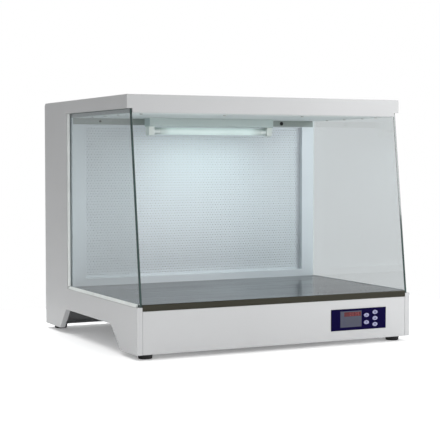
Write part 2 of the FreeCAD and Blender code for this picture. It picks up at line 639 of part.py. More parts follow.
# ---- pre-filter ------------------------------------------------------------------------------------------
def prefilter_rails():
    """Two folded rails under the tray that carry the cassette, joined by its end stop."""
    y_web = CASSETTE_HALF_Y + 1.0
    length = CASSETTE_HALF_X + 6
    z_lip = CASSETTE_Z[0] - 0.6 - SHEET
    rail = fuse([
        box(-length, length, y_web, y_web + SHEET, z_lip, Z_TRAY),
        box(-length, length, y_web - 10, y_web, z_lip, z_lip + SHEET),
        box(-length, length, y_web, y_web + 14, Z_TRAY - SHEET, Z_TRAY),
    ])
    stop = box(length - 2, length, -y_web, y_web, Z_TRAY - 8, Z_TRAY)
    return fuse([rail, rail.mirror(Vec(0, 0, 0), Vec(0, 1, 0)), stop])


def prefilter_frame():
    """Cassette frame with a bar grid below the fleece and a pull tab on its left end."""
    z0, z1 = CASSETTE_Z
    hx, hy, wall = CASSETTE_HALF_X, CASSETTE_HALF_Y, 9.0
    opening = box(-hx + wall, hx - wall, -hy + wall, hy - wall, z0 - 1, z1 + 1)
    frame = box(-hx, hx, -hy, hy, z0, z1).cut(opening)
    bars = [box(x - 1, x + 1, -hy + wall - 1, hy - wall + 1, z0, z0 + 2)
            for x in [-hx + wall + k * (2 * hx - 2 * wall) / 12 for k in range(1, 12)]]
    bars += [box(-hx + wall - 1, hx - wall + 1, y - 1, y + 1, z0, z0 + 2) for y in (-52.0, 0.0, 52.0)]
    tab = box(-hx - 16, -hx, -32, 32, z0 + 4, z0 + 7)
    grip = box(-hx - 16, -hx - 13, -32, 32, z0 - 3, z0 + 4)
    return fuse([frame] + bars + [tab, grip])


def prefilter_media():
    inner_x, inner_y = CASSETTE_HALF_X - 9.3, CASSETTE_HALF_Y - 9.3
    return box(-inner_x, inner_x, -inner_y, inner_y, CASSETTE_Z[0] + 2.2, CASSETTE_Z[1] - 0.6)


# ---- feet ------------------------------------------------------------------------------------------------
def foot_places():
    return [(sx * FOOT_X, sy * FOOT_Y) for sx in (-1, 1) for sy in (-1, 1)]


def rubber_feet():
    """Round bumpers with a rounded lower edge and a counterbore for the screw."""
    feet = []
    for x, y in foot_places():
        foot = Part.makeCone(FOOT_R - 1.6, FOOT_R, FOOT_HEIGHT, Vec(x, y, 0))
        foot = fillet(foot, 2.2, lambda e, m: near(m.z, 0.0) and not along(e, "z"))
        bore = rod(5.0, (x, y, -1), (x, y, 6)).fuse(rod(2.1, (x, y, 5), (x, y, FOOT_HEIGHT + 1)))
        feet.append(foot.cut(bore))
    return group(feet)


NUT_R, NUT_HEIGHT = 3.9, 3.2


def foot_screws():
    screws = []
    for x, y in foot_places():
        head = rod(4.2, (x, y, 3.0), (x, y, 6.0))
        shank = rod(2.0, (x, y, 6.0), (x, y, Z_BODY + 9))
        turns = [math.radians(60 * k) for k in range(6)]
        corners = [(x + NUT_R * math.cos(a), y + NUT_R * math.sin(a), Z_BODY + SHEET) for a in turns]
        screws.append(fuse([head, shank, prism(corners, (0, 0, NUT_HEIGHT))]))
    return group(screws)


# ---- lamp ------------------------------------------------------------------------------------------------
def lamp_housing():
    """White batten body under the ceiling, hollow, with a raised end block over each holder."""
    z0, z1 = LAMP_Z + 10.0, Z_CEILING - SHEET - 0.1
    half_y, wall = 16.0, 1.2
    body = box(-LAMP_HALF, LAMP_HALF, LAMP_Y - half_y, LAMP_Y + half_y, z0, z1)
    body = fillet(body, 4.0, lambda e, m: near(m.z, z0) and along(e, "x"))
    inner_x, inner_y = LAMP_HALF - wall, half_y - wall
    inner = box(-inner_x, inner_x, LAMP_Y - inner_y, LAMP_Y + inner_y, z0 + wall, z1 + 1)
    inner = fillet(inner, 3.0, lambda e, m: near(m.z, z0 + wall) and along(e, "x"))
    return body.cut(inner)


def lamp_holder(side):
    """Lamp holder with a round seat for its rotor and a slot through which the tube's pins enter."""
    x_in, x_out = side * (TUBE_HALF + 0.3), side * LAMP_HALF
    x0, x1 = min(x_in, x_out), max(x_in, x_out)
    block = box(x0, x1, LAMP_Y - 10, LAMP_Y + 10, LAMP_Z - 10.5, LAMP_Z + 9.9)
    block = fillet(block, 4.0, lambda e, m: along(e, "x") and m.z < LAMP_Z)
    seat = rod(6.3, (x_in - side, LAMP_Y, LAMP_Z), (side * (TUBE_HALF + 9), LAMP_Y, LAMP_Z))
    s0, s1 = sorted((x_in - side, side * (TUBE_HALF + 9)))
    slot = box(s0, s1, LAMP_Y - 1.6, LAMP_Y + 1.6, LAMP_Z - 12, LAMP_Z)
    return block.cut(seat).cut(slot)


def lamp_holders():
    return group([lamp_holder(-1), lamp_holder(1)])


def lamp_tube():
    end = TUBE_HALF - CAP_LENGTH
    return tube(TUBE_R, TUBE_R - 0.8, (-end, LAMP_Y, LAMP_Z), (end, LAMP_Y, LAMP_Z))


def lamp_caps():
    """Metal caps that close the tube, with two contact pins each."""
    caps = []
    for side in (-1, 1):
        x0, x1 = side * (TUBE_HALF - CAP_LENGTH), side * TUBE_HALF
        cap = rod(TUBE_R + 0.15, (x0, LAMP_Y, LAMP_Z), (x1, LAMP_Y, LAMP_Z))
        pins = [rod(1.15, (x1 - side, LAMP_Y + d, LAMP_Z), (side * (TUBE_HALF + 7), LAMP_Y + d, LAMP_Z))
                for d in (-2.4, 2.4)]
        caps.append(fuse([cap] + pins))
    return group(caps)


def lamp_rotors():
    """The turning seats in the two holders; their slot grips the pins."""
    rotors = []
    for side in (-1, 1):
        x0, x1 = side * (TUBE_HALF + 0.8), side * (TUBE_HALF + 8.4)
        body = rod(6.0, (x0, LAMP_Y, LAMP_Z), (x1, LAMP_Y, LAMP_Z))
        s0, s1 = sorted((x0 - side, side * (TUBE_HALF + 7.4)))
        rotors.append(body.cut(box(s0, s1, LAMP_Y - 7, LAMP_Y + 7, LAMP_Z - 1.25, LAMP_Z + 1.25)))
    return group(rotors)


def lamp_ballast():
    z0 = LAMP_Z + 11.6
    return fuse([
        box(-95, 30, LAMP_Y - 12, LAMP_Y + 12, z0, z0 + 1.6),
        box(-88, -60, LAMP_Y - 10, LAMP_Y + 10, z0 + 1.6, z0 + 13),
        rod(5.0, (-45, LAMP_Y, z0 + 1.6), (-45, LAMP_Y, z0 + 14)),
        box(-30, -8, LAMP_Y - 9, LAMP_Y + 9, z0 + 1.6, z0 + 10),
        box(8, 26, LAMP_Y - 9, LAMP_Y + 9, z0 + 1.6, z0 + 9),
    ])


# ---- controls --------------------------------------------------------------------------------------------
def oval(x, z, width, height, y0, y1):
    """Elliptical prism along Y."""
    curve = Part.Ellipse(Vec(0, 0, 0), width / 2, height / 2).toShape()
    face = Part.Face(Part.Wire(curve))
    solid = face.extrude(Vec(0, 0, y1 - y0))
    solid.rotate(Vec(0, 0, 0), Vec(1, 0, 0), 90)
    solid.translate(Vec(x, y1, z))
    return solid


def screen_box(y0, y1, grow=0.0):
    x0, z0, x1, z1 = SCREEN
    return box(PANEL_X + x0 - grow, PANEL_X + x1 + grow, y0, y1, PANEL_Z + z0 - grow, PANEL_Z + z1 + grow)


def control_bezel():
    """Moulded front of the control unit: face plate, snap-in collar, window and key openings."""
    y0 = Y_FRONT - PANEL_PROUD
    hw, hh = PANEL_W / 2, PANEL_H / 2
    face = box(PANEL_X - hw, PANEL_X + hw, y0, Y_FRONT, PANEL_Z - hh, PANEL_Z + hh)
    face = fillet(face, 0.6, lambda e, m: near(m.y, y0) and not along(e, "y"))
    rim, inner = 3.3, 4.4
    collar = box(PANEL_X - hw + rim, PANEL_X + hw - rim, Y_FRONT, Y_FRONT + 10,
                 PANEL_Z - hh + rim, PANEL_Z + hh - rim)
    hollow = box(PANEL_X - hw + inner, PANEL_X + hw - inner, Y_FRONT + 0.8, Y_FRONT + 11,
                 PANEL_Z - hh + inner, PANEL_Z + hh - inner)
    cuts = [hollow, screen_box(y0 - 1, y0 + 0.6), screen_box(y0 - 1, Y_FRONT + 2, -2.0)]
    for x, z in KEYS.values():
        cuts.append(oval(PANEL_X + x, PANEL_Z + z, KEY_W + 0.7, KEY_H + 0.7, y0 - 1, Y_FRONT + 2))
    return fuse([face, collar]).cut(group(cuts))


def display_window():
    y0 = Y_FRONT - PANEL_PROUD
    return screen_box(y0 + 0.1, y0 + 0.6, -0.1)


def display_module():
    body = screen_box(Y_FRONT + 2.6, Y_FRONT + 9.2, -1.0)
    glass = screen_box(Y_FRONT + 1.2, Y_FRONT + 2.6, -2.6)
    return fuse([body, glass])


def control_key(name):
    """Key cap with a collar behind the bezel and a stem towards its switch."""
    dx, dz = KEYS[name]
    x, z = PANEL_X + dx, PANEL_Z + dz
    y0 = Y_FRONT - PANEL_PROUD - KEY_PROUD
    cap = oval(x, z, KEY_W, KEY_H, y0, Y_FRONT + 1.2)
    cap = fillet(cap, 0.5, lambda e, m: near(m.y, y0))
    collar = oval(x, z, KEY_W + 2.0, KEY_H + 1.4, Y_FRONT + 1.15, Y_FRONT + 2.0)
    stem = rod(1.8, (x, Y_FRONT + 2, z), (x, Y_STEM, z))
    return fuse([cap, collar, stem])


def key_switches():
    """Tactile switches on the board, each just behind the end of its key's travel."""
    switches = []
    for dx, dz in KEYS.values():
        x, z = PANEL_X + dx, PANEL_Z + dz
        switches.append(fuse([
            box(x - 3, x + 3, Y_FRONT + 6.8, Y_FRONT + 10, z - 3, z + 3),
            rod(1.7, (x, Y_STEM + KEY_TRAVEL + 0.35, z), (x, Y_FRONT + 6.8, z)),
        ]))
    return group(switches)


def control_board():
    y0 = Y_FRONT + 10.0
    board = box(PANEL_X - 62, PANEL_X + 62, y0, y0 + 1.6, PANEL_Z - 17, PANEL_Z + 17)
    parts = [box(PANEL_X - 20, PANEL_X - 2, y0 + 1.6, y0 + 3.4, PANEL_Z - 9, PANEL_Z + 9),
             box(PANEL_X + 14, PANEL_X + 46, y0 + 1.6, y0 + 11, PANEL_Z - 14, PANEL_Z - 6),
             box(PANEL_X + 16, PANEL_X + 34, y0 + 1.6, y0 + 14, PANEL_Z + 1, PANEL_Z + 14),
             rod(4, (PANEL_X - 44, y0 + 1.6, PANEL_Z), (PANEL_X - 44, y0 + 13, PANEL_Z))]
    return fuse([board] + parts)


# ---- power -----------------------------------------------------------------------------------------------
def power_inlet():
    """Appliance inlet with a drawer opening above it, clipped into the rear panel."""
    x, z = INLET_X, INLET_Z
    flange = box(x - 16, x + 16, Y_REAR, Y_REAR + INLET_PROUD, z - 25, z + 25)
    flange = fillet(flange, 2.0, lambda e, m: along(e, "y"))
    body = box(x - 13.4, x + 13.4, Y_REAR - 26, Y_REAR, z - 22.4, z + 22.4)
    socket = box(x - 12, x + 12, Y_REAR - 17, Y_REAR + 4, z - 19, z - 2.6)
    y0 = Y_REAR - 17
    chamfers = []
    for side in (-1, 1):
        wedge = [(x + side * 12, y0, z - 19), (x + side * 7.5, y0, z - 19), (x + side * 12, y0, z - 14.5)]
        chamfers.append(prism(wedge, (0, 21, 0)))
    socket = socket.cut(group(chamfers))
    drawer = box(x - 11, x + 11, Y_REAR - 22, Y_REAR + 4, z + 3, z + 20)
    return fuse([flange, body]).cut(group([socket, drawer]))


def inlet_pins():
    x, z = INLET_X, INLET_Z - 10.8
    blades = [box(x + dx - 1, x + dx + 1, Y_REAR - 17, Y_REAR - 4.5, z + dz - 2, z + dz + 2)
              for dx, dz in ((-7, -1.5), (7, -1.5), (0, 2.5))]
    return group(blades)


def fuse_drawer():
    """Drawer above the socket that carries the fuse; it pulls out to the rear."""
    x, z = INLET_X, INLET_Z + 11.5
    y_face = Y_REAR + PANEL_PROUD + KEY_PROUD
    face = box(x - 10.7, x + 10.7, Y_REAR - 2, y_face, z - 8.2, z + 8.2)
    face = face.cut(box(x - 6, x + 6, y_face - 1.5, y_face + 1, z + 5.2, z + 9))
    tray = box(x - 9.5, x + 9.5, Y_REAR - 21, Y_REAR - 2, z - 7, z + 7)
    trough = box(x - 12, x + 8.6, Y_REAR - 14, Y_REAR - 6, z - 4, z + 8)
    return fuse([face, tray]).cut(trough)


def fuse_link():
    """Glass fuse lying across the drawer."""
    z = INLET_Z + 10.9
    x = INLET_X
    return tube(2.6, 1.9, (x - 9.4, Y_REAR - 10, z), (x + 8.2, Y_REAR - 10, z)).fuse([
        rod(2.9, (x - 9.4, Y_REAR - 10, z), (x - 4.8, Y_REAR - 10, z)),
        rod(2.9, (x + 3.6, Y_REAR - 10, z), (x + 8.2, Y_REAR - 10, z))]).removeSplitter()


def power_supply():
    """Switched supply for the fan and the controls, on the tray beside the air inlet."""
    x0, y0, z0 = 206.0, -20.0, Z_TRAY + SHEET + 0.2
    case = box(x0, x0 + 78, y0, y0 + 100, z0, z0 + 30)
    vents = [box(x0 + 12, x0 + 66, y0 + 18 + 8 * k, y0 + 21 + 8 * k, z0 + 28.5, z0 + 31) for k in range(8)]
    return case.cut(group(vents))


def terminal_block():
    x0, y0, z0 = 206.0, -72.0, Z_TRAY + SHEET + 0.2
    block = box(x0, x0 + 70, y0, y0 + 22, z0, z0 + 18)
    poles, pitch = 7, 9.7
    wells = [rod(2.8, (x, y0 + 11, z0 + 10), (x, y0 + 11, z0 + 19))
             for x in [x0 + 6 + pitch * k for k in range(poles)]]
    return block.cut(group(wells))


def wiring_harness():
    """Lamp lead over the plenum and down the rear duct, fan lead through the plenum floor, mains lead from
    the inlet, and control lead from the board."""
    z_base, z_roof, x_side, y_duct = Z_TRAY + 13, Z_TOP - 12, 292.0, Y_REAR - 19
    lamp = cable([
        (26.2, LAMP_Y, LAMP_Z + 18), (LAMP_WIRE_X, LAMP_Y, LAMP_Z + 18), (LAMP_WIRE_X, LAMP_Y, z_roof),
        (x_side, LAMP_Y, z_roof), (x_side, y_duct, z_roof), (x_side, y_duct, z_base), (x_side, -32, z_base),
        (262, -32, z_base), (262, -49.8, z_base),
    ], 2.0, 8.0)
    fan = cable([
        (0, FAN_CABLE_Y, FAN_Z - 45.2), (0, FAN_CABLE_Y, z_base), (0, 128, z_base), (225, 128, z_base),
        (225, 80.2, z_base),
    ], 2.0, 10.0)
    mains = cable([
        (INLET_X, Y_REAR - 26.2, INLET_Z - 8), (INLET_X, Y_REAR - 56, INLET_Z - 8),
        (x_side + 7, Y_REAR - 90, z_base), (x_side + 7, -61, z_base), (276.2, -61, z_base),
    ], 2.6, 10.0)
    control = cable([
        (CONTROL_WIRE_X, Y_FRONT + 27, Z_TRAY - 8), (CONTROL_WIRE_X, Y_FRONT + 66, Z_TRAY - 8),
    ], 2.0, 8.0)
    return group([lamp, fan, mains, control])


# ---- writing the parts -----------------------------------------------------------------------------------
def build():
    left = {"side_panel": side_panel_left(), "glass": glass_left(), "glass_seal": glass_seal_left()}
    parts = {name + "_left": shape for name, shape in left.items()}
    parts.update({name + "_right": mirrored(shape) for name, shape in left.items()})
    makers = [
        top_cover, ceiling_panel, ceiling_screws, rear_panel, rear_screws, rear_rails, base_tray,
        front_panel, worktop, filter_surround, diffuser_plate, filter_frame, filter_gasket, filter_media,
        filter_clamps, clamp_bolts, plenum_wall, fan_inlet_ring, fan_bracket, fan_stator, fan_bearings,
        fan_shaft, fan_rotor, fan_impeller, prefilter_rails, prefilter_frame, prefilter_media, rubber_feet,
        foot_screws, lamp_housing, lamp_holders, lamp_tube, lamp_caps, lamp_rotors, lamp_ballast,
        control_bezel, display_window, display_module, key_switches, control_board, power_inlet, inlet_pins,
        fuse_drawer, fuse_link, power_supply, terminal_block, wiring_harness,
    ]
    parts.update({maker.__name__: maker() for maker in makers})
    parts.update({name: control_key(name) for name in KEYS})
    return parts


def write(parts):
    os.makedirs("parts", exist_ok=True)
    for name, shape in parts.items():
        shape.exportStep(os.path.join("parts", name + ".step"))


write(build())
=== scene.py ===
"""Looks of the bench-top laminar-flow hood: materials, diffuser, beads, display, key symbols and studio."""
import json
import math

import bmesh
import bpy
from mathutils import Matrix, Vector


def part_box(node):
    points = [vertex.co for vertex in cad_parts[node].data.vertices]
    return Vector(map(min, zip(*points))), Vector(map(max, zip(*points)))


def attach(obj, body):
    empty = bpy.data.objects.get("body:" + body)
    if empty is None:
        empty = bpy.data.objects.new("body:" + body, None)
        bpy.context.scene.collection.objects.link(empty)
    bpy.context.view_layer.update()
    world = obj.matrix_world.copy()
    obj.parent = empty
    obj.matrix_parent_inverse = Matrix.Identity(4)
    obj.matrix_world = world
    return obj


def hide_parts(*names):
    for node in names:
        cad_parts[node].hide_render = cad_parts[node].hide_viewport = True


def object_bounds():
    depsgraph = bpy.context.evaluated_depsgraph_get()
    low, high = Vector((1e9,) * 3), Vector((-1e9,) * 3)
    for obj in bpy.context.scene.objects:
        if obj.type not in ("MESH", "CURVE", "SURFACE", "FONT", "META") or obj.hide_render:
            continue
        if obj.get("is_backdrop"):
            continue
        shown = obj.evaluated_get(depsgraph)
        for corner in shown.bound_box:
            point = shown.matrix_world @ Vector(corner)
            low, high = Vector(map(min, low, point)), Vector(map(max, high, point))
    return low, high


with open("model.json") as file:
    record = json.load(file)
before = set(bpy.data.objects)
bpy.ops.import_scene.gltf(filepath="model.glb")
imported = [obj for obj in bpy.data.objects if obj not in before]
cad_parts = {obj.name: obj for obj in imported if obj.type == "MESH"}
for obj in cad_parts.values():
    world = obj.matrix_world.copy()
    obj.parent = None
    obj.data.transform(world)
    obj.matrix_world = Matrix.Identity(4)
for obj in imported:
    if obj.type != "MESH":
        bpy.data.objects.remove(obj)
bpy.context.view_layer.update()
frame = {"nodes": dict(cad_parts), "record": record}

nodes = frame["nodes"]
MM = 0.001


# ---- small tools -------------------------------------------------------------------------------------------
def srgb(r, g, b):
    """Linear colour from display values of 0 to 255."""
    def linear(v):
        v /= 255.0
        return v / 12.92 if v <= 0.04045 else ((v + 0.055) / 1.055) ** 2.4
    return (linear(r), linear(g), linear(b), 1.0)


def new_object(name, bm, material, body):
    """Turns bm into an object that rides on body."""
    bmesh.ops.recalc_face_normals(bm, faces=bm.faces)
    mesh = bpy.data.meshes.new(name)
    bm.to_mesh(mesh)
    bm.free()
    obj = bpy.data.objects.new(name, mesh)
    bpy.context.scene.collection.objects.link(obj)
    mesh.materials.append(material)
    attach(obj, body)
    return obj


def add_plate(bm, outline, y, depth):
    """Adds a flat plate: outline in x and z, its front at y, depth thick towards the back."""
    front = [bm.verts.new((x, y, z)) for x, z in outline]
    back = [bm.verts.new((x, y + depth, z)) for x, z in outline]
    bm.faces.new(front)
    bm.faces.new(back[::-1])
    n = len(outline)
    for i in range(n):
        j = (i + 1) % n
        bm.faces.new((front[i], back[i], back[j], front[j]))


def arc_band(cx, cz, r_in, r_out, start, end, steps=28):
    """Outline of part of a ring, angles in degrees."""
    angles = [math.radians(start + (end - start) * k / steps) for k in range(steps + 1)]
    outer = [(cx + r_out * math.cos(a), cz + r_out * math.sin(a)) for a in angles]
    inner = [(cx + r_in * math.cos(a), cz + r_in * math.sin(a)) for a in reversed(angles)]
    return outer + inner


def bar(cx, cz, width, height):
    """Outline of a rectangle."""
    w, h = width / 2, height / 2
    return [(cx - w, cz - h), (cx + w, cz - h), (cx + w, cz + h), (cx - w, cz + h)]


# ---- material tools ----------------------------------------------------------------------------------------
class Look:
    """One material's node tree, with the few patterns that the finishes share."""

    def __init__(self, name, color, roughness=0.5, metallic=0.0, **sockets):
        self.material = bpy.data.materials.new(name)
        self.material.use_nodes = True
        self.tree = self.material.node_tree
        self.shader = self.tree.nodes["Principled BSDF"]
        self.output = self.tree.nodes["Material Output"]
        self.color = color
        self.painted = color
        self.roughness = roughness
        self.shader.inputs["Base Color"].default_value = color
        self.shader.inputs["Roughness"].default_value = roughness
        self.shader.inputs["Metallic"].default_value = metallic
        for socket, value in sockets.items():
            self.shader.inputs[socket.replace("_", " ")].default_value = value

    def node(self, kind, **settings):
        n = self.tree.nodes.new(kind)
        for key, value in settings.items():
            setattr(n, key, value)
        return n

    def link(self, a, b):
        self.tree.links.new(a, b)

    def place(self, stretch=(1, 1, 1), turn=(0, 0, 0)):
        """Object coordinates, scaled by stretch."""
        where = self.node("ShaderNodeTexCoord")
        mapping = self.node("ShaderNodeMapping")
        mapping.inputs["Scale"].default_value = stretch
        mapping.inputs["Rotation"].default_value = turn
        self.link(where.outputs["Object"], mapping.inputs["Vector"])
        return mapping.outputs["Vector"]

    def noise(self, scale, detail=3.0, stretch=(1, 1, 1)):
        n = self.node("ShaderNodeTexNoise")
        n.inputs["Scale"].default_value = scale
        n.inputs["Detail"].default_value = detail
        self.link(self.place(stretch), n.inputs["Vector"])
        return n.outputs["Fac"]

    def ramp(self, value, low, high, out_low=0.0, out_high=1.0):
        n = self.node("ShaderNodeMapRange")
        n.inputs["From Min"].default_value = low
        n.inputs["From Max"].default_value = high
        n.inputs["To Min"].default_value = out_low
        n.inputs["To Max"].default_value = out_high
        self.link(value, n.inputs["Value"])
        return n.outputs["Result"]

    def mix(self, factor, a, b):
        """Colour mix; a and b are colours or sockets."""
        n = self.node("ShaderNodeMix", data_type="RGBA")
        self.link(factor, n.inputs[0])
        for socket, value in ((n.inputs[6], a), (n.inputs[7], b)):
            if isinstance(value, tuple):
                socket.default_value = value
            else:
                self.link(value, socket)
        return n.outputs[2]

    def math(self, operation, a, b=None):
        n = self.node("ShaderNodeMath", operation=operation)
        for socket, value in zip(n.inputs, (a, b)):
            if value is None:
                continue
            if isinstance(value, (int, float)):
                socket.default_value = value
            else:
                self.link(value, socket)
        return n.outputs[0]

    def vary_color(self, scale, amount, detail=3.0, stretch=(1, 1, 1)):
        """Slightly lighter and darker patches of the base colour."""
        pale = tuple(min(1.0, c * (1 + amount)) for c in self.color[:3]) + (1.0,)
        dark = tuple(c * (1 - amount) for c in self.color[:3]) + (1.0,)
        factor = self.ramp(self.noise(scale, detail, stretch), 0.3, 0.7)
        self.paint(self.mix(factor, dark, pale))

    def paint(self, socket):
        """Base colour from a socket, kept so that dust can lie on top of it."""
        self.link(socket, self.shader.inputs["Base Color"])
        self.painted = socket

    def vary_roughness(self, scale, amount, detail=2.0, stretch=(1, 1, 1)):
        value = self.ramp(self.noise(scale, detail, stretch), 0.3, 0.7, self.roughness - amount,
                          self.roughness + amount)
        self.link(value, self.shader.inputs["Roughness"])

    def bump(self, height, strength, distance):
        n = self.node("ShaderNodeBump")
        n.inputs["Strength"].default_value = strength
        n.inputs["Distance"].default_value = distance
        self.link(height, n.inputs["Height"])
        self.link(n.outputs["Normal"], self.shader.inputs["Normal"])

    def grain(self, scale, strength, distance=0.0002, stretch=(1, 1, 1), detail=4.0):
        """Fine bump from noise."""
        self.bump(self.noise(scale, detail, stretch), strength, distance)

    def position(self, axis):
        """Place on the object along one axis, in metres."""
        n = self.node("ShaderNodeTexCoord")
        split = self.node("ShaderNodeSeparateXYZ")
        self.link(n.outputs["Object"], split.inputs[0])
        return split.outputs[axis]

    def dust(self, color, amount):
        """Dust that settles on what faces up, in soft patches."""
        n = self.node("ShaderNodeNewGeometry")
        split = self.node("ShaderNodeSeparateXYZ")
        self.link(n.outputs["Normal"], split.inputs[0])
        up = self.ramp(split.outputs["Z"], 0.4, 1.0, 0.0, amount)
        patchy = self.math("MULTIPLY", up, self.ramp(self.noise(9.0), 0.35, 0.65, 0.4, 1.0))
        self.paint(self.mix(patchy, self.painted, color))


DUST = srgb(176, 172, 164)


def powder_coat(name, color, roughness=0.42):
    """Baked powder paint: orange-peel skin, faint clouding, roughness patches and a little dust."""
    look = Look(name, color, roughness, Specular_IOR_Level=0.45)
    look.vary_color(4.0, 0.018)
    look.vary_roughness(7.0, 0.05)
    look.grain(1400.0, 0.16, 0.0001)
    look.dust(DUST, 0.10)
    return look.material


def sheet_metal(name, color, roughness, brush=(1, 1, 1), anisotropic=0.0):
    """Bare metal with its grain drawn out along one direction."""
    look = Look(name, color, roughness, 1.0, Anisotropic=anisotropic)
    look.vary_color(60.0, 0.10, stretch=brush)
    look.vary_roughness(90.0, 0.06, stretch=brush)
    look.grain(240.0, 0.12, 0.00005, stretch=brush)
    return look.material


def galvanised(name, color, roughness=0.42):
    """Zinc coat with its crystal spangle."""
    look = Look(name, color, roughness, 1.0)
    cells = look.node("ShaderNodeTexVoronoi")
    cells.inputs["Scale"].default_value = 110.0
    look.link(look.place(), cells.inputs["Vector"])
    grey = look.node("ShaderNodeRGBToBW")
    look.link(cells.outputs["Color"], grey.inputs[0])
    pale = tuple(min(1.0, c * 1.18) for c in color[:3]) + (1.0,)
    dark = tuple(c * 0.80 for c in color[:3]) + (1.0,)
    look.paint(look.mix(look.ramp(grey.outputs[0], 0.2, 0.8), dark, pale))
    look.vary_roughness(30.0, 0.08)
    look.grain(700.0, 0.08, 0.0001)
    return look.material


def plastic(name, color, roughness=0.45, grain=0.15, scale=1800.0):
    look = Look(name, color, roughness, IOR=1.47)
    look.vary_color(25.0, 0.06)
    look.vary_roughness(40.0, 0.06)
    look.grain(scale, grain, 0.0001)
    return look.material


def rubber(name, color, roughness=0.72):
    look = Look(name, color, roughness, Specular_IOR_Level=0.35)
    look.vary_color(50.0, 0.20)
    look.vary_roughness(30.0, 0.10)
    look.grain(1100.0, 0.30, 0.0002)
    look.dust(DUST, 0.25)
    return look.material


def worktop_steel(name):
    """Satin stainless sheet brushed from left to right, a little bluish; its folded front edge is duller and
    painted darker olive, a painted reflection of the dark surroundings in front.
    """
    # the fold's dark olive is a painted reflection of the dark surroundings in front
    top, fold_painted_reflection = srgb(92, 93, 97), srgb(60, 59, 52)
    look = Look(name, top, 0.2, 1.0, Anisotropic=0.3)
    low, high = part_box("worktop")
    on_fold = look.ramp(look.position("Y"), low.y + 0.3 * MM, low.y + 2.2 * MM, 1.0, 0.0)
    streaks = look.ramp(look.noise(90.0, 4.0, ALONG_X), 0.3, 0.7, 0.88, 1.06)
    both = look.mix(on_fold, top, fold_painted_reflection)
    shade = look.node("ShaderNodeVectorMath", operation="SCALE")
    look.link(both, shade.inputs[0])
    look.link(streaks, shade.inputs["Scale"])
    look.paint(shade.outputs[0])
    patches = look.ramp(look.noise(6.0, 4.0), 0.3, 0.7, 0.0, 0.05)
    fine = look.ramp(look.noise(140.0, 3.0, ALONG_X), 0.3, 0.7, 0.14, 0.24)
    duller = look.math("MULTIPLY", on_fold, 0.25)
    look.link(look.math("ADD", look.math("ADD", patches, fine), duller), look.shader.inputs["Roughness"])
    look.grain(300.0, 0.10, 0.00004, stretch=ALONG_X)
    return look.material


def window_glass(name, tint, edge):
    """Clear pane that lets lamps through; its narrow edges show the glass's own dark green."""
    look = Look(name, tint, 0.0, IOR=1.5, Transmission_Weight=1.0)
    smudges = look.ramp(look.noise(14.0, 5.0), 0.52, 0.75, 0.0, 0.035)
    look.link(smudges, look.shader.inputs["Roughness"])
    clear = look.node("ShaderNodeBsdfTransparent")
    clear.inputs["Color"].default_value = tint
    rays = look.node("ShaderNodeLightPath")
    pass_light = look.node("ShaderNodeMixShader")
    either = look.math("MAXIMUM", rays.outputs["Is Shadow Ray"], rays.outputs["Is Diffuse Ray"])
    look.link(either, pass_light.inputs[0])
    look.link(look.shader.outputs[0], pass_light.inputs[1])
    look.link(clear.outputs[0], pass_light.inputs[2])

    rim = look.node("ShaderNodeBsdfPrincipled")
    rim.inputs["Roughness"].default_value = 0.12
    rim.inputs["Coat Weight"].default_value = 0.4
    streaks = look.ramp(look.noise(120.0, 3.0, (1, 1, 0.15)), 0.3, 0.7)
    pale = tuple(c * 1.7 for c in edge[:3]) + (1.0,)
    look.link(look.mix(streaks, edge, pale), rim.inputs["Base Color"])
    shape = look.node("ShaderNodeNewGeometry")
    split = look.node("ShaderNodeSeparateXYZ")
    look.link(shape.outputs["True Normal"], split.inputs[0])
    sideways = look.math("ABSOLUTE", split.outputs["X"])
    on_edge = look.math("LESS_THAN", sideways, 0.7)
    whole = look.node("ShaderNodeMixShader")
    look.link(on_edge, whole.inputs[0])
    look.link(pass_light.outputs[0], whole.inputs[1])
    look.link(rim.outputs[0], whole.inputs[2])
    look.link(whole.outputs[0], look.output.inputs["Surface"])
    return look.material


def lamp_glass(name):
    """Phosphor-coated tube: even glow that fades and yellows near its two ends."""
    look = Look(name, srgb(196, 206, 204), 0.3, Coat_Weight=0.2)
    low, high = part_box("lamp_tube")
    half = (high.x - low.x) / 2
    inward = look.math("SUBTRACT", half, look.math("ABSOLUTE", look.position("X")))
    glow = look.ramp(inward, 0.0, 22 * MM)
    clouds = look.ramp(look.noise(40.0), 0.3, 0.7, 0.94, 1.0)
    tint = look.mix(glow, srgb(160, 176, 168), srgb(226, 250, 248))
    look.link(tint, look.shader.inputs["Emission Color"])
    strength = look.ramp(inward, 0.0, 30 * MM, 0.12, LAMP_GLOW)
    look.link(look.math("MULTIPLY", strength, clouds), look.shader.inputs["Emission Strength"])
    return look.material


def circuit_board(name, laminate_y):
    """Green laminate with copper tracks up to laminate_y; what stands on it, behind, is black or brown."""
    look = Look(name, srgb(18, 86, 48), 0.35)
    tracks = look.node("ShaderNodeTexBrick")
    tracks.inputs["Scale"].default_value = 160.0
    tracks.inputs["Mortar Size"].default_value = 0.035
    tracks.inputs["Color1"].default_value = srgb(16, 80, 44)
    tracks.inputs["Color2"].default_value = srgb(22, 98, 54)
    tracks.inputs["Mortar"].default_value = srgb(64, 142, 84)
    look.link(look.place(turn=(math.radians(90), 0, 0)), tracks.inputs["Vector"])
    on_top = look.math("GREATER_THAN", look.position("Y"), laminate_y)
    body = look.mix(look.ramp(look.noise(30.0, 0.0), 0.46, 0.5), srgb(24, 24, 26), srgb(60, 58, 52))
    look.paint(look.mix(on_top, tracks.outputs["Color"], body))
    look.vary_roughness(60.0, 0.08)
    look.grain(900.0, 0.10, 0.0001)
    return look.material


def control_film(name):
    """Deep blue printed film with a matt, finely pebbled surface."""
    look = Look(name, srgb(8, 3, 48), 0.5, Specular_IOR_Level=0.03)
    look.vary_color(20.0, 0.08)
    look.vary_roughness(40.0, 0.06)
    look.grain(2500.0, 0.08, 0.0001)
    return look.material


